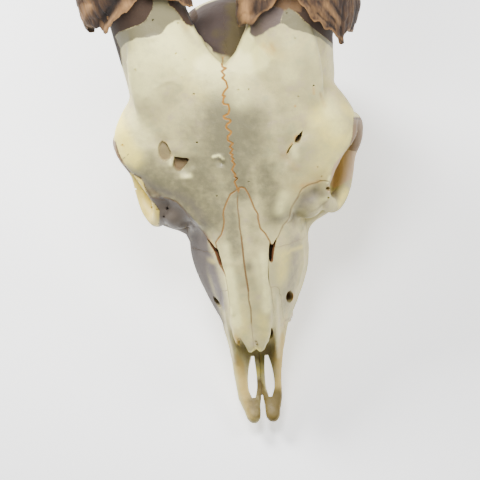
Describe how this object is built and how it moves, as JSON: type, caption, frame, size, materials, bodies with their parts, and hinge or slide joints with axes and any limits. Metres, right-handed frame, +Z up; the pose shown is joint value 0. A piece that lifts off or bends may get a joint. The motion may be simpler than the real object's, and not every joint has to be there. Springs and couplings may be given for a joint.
{
  "type": "goat skull",
  "caption": "Life-size goat skull without its lower jaw, with bony horn cores in broken, backswept horn sheaths, resting on its upper cheek teeth.",
  "frame": {"origin": "centre of the bounding box, at the level plane on which the teeth rest", "axes": "+Z up, -Y towards the snout, +Y back along the horns, +X towards the animal's left"},
  "size_m": [0.2662, 0.4244, 0.26],
  "materials": {
    "bone": "dry ivory bone",
    "snout_bone": "tan stained bone",
    "horn": "weathered, fibrous horn"
  },
  "bodies": {
    "root": {"nasal_left": "bone", "premaxilla_left": "snout_bone", "maxilla_left": "bone", "lacrimal_left": "bone", "zygomatic_left": "bone", "frontal_left": "bone", "nasal_right": "bone", "premaxilla_right": "snout_bone", "maxilla_right": "bone", "lacrimal_right": "bone", "zygomatic_right": "bone", "frontal_right": "bone", "cranium": "bone", "horn_left": "horn", "horn_right": "horn"}
  },
  "joints": []
}
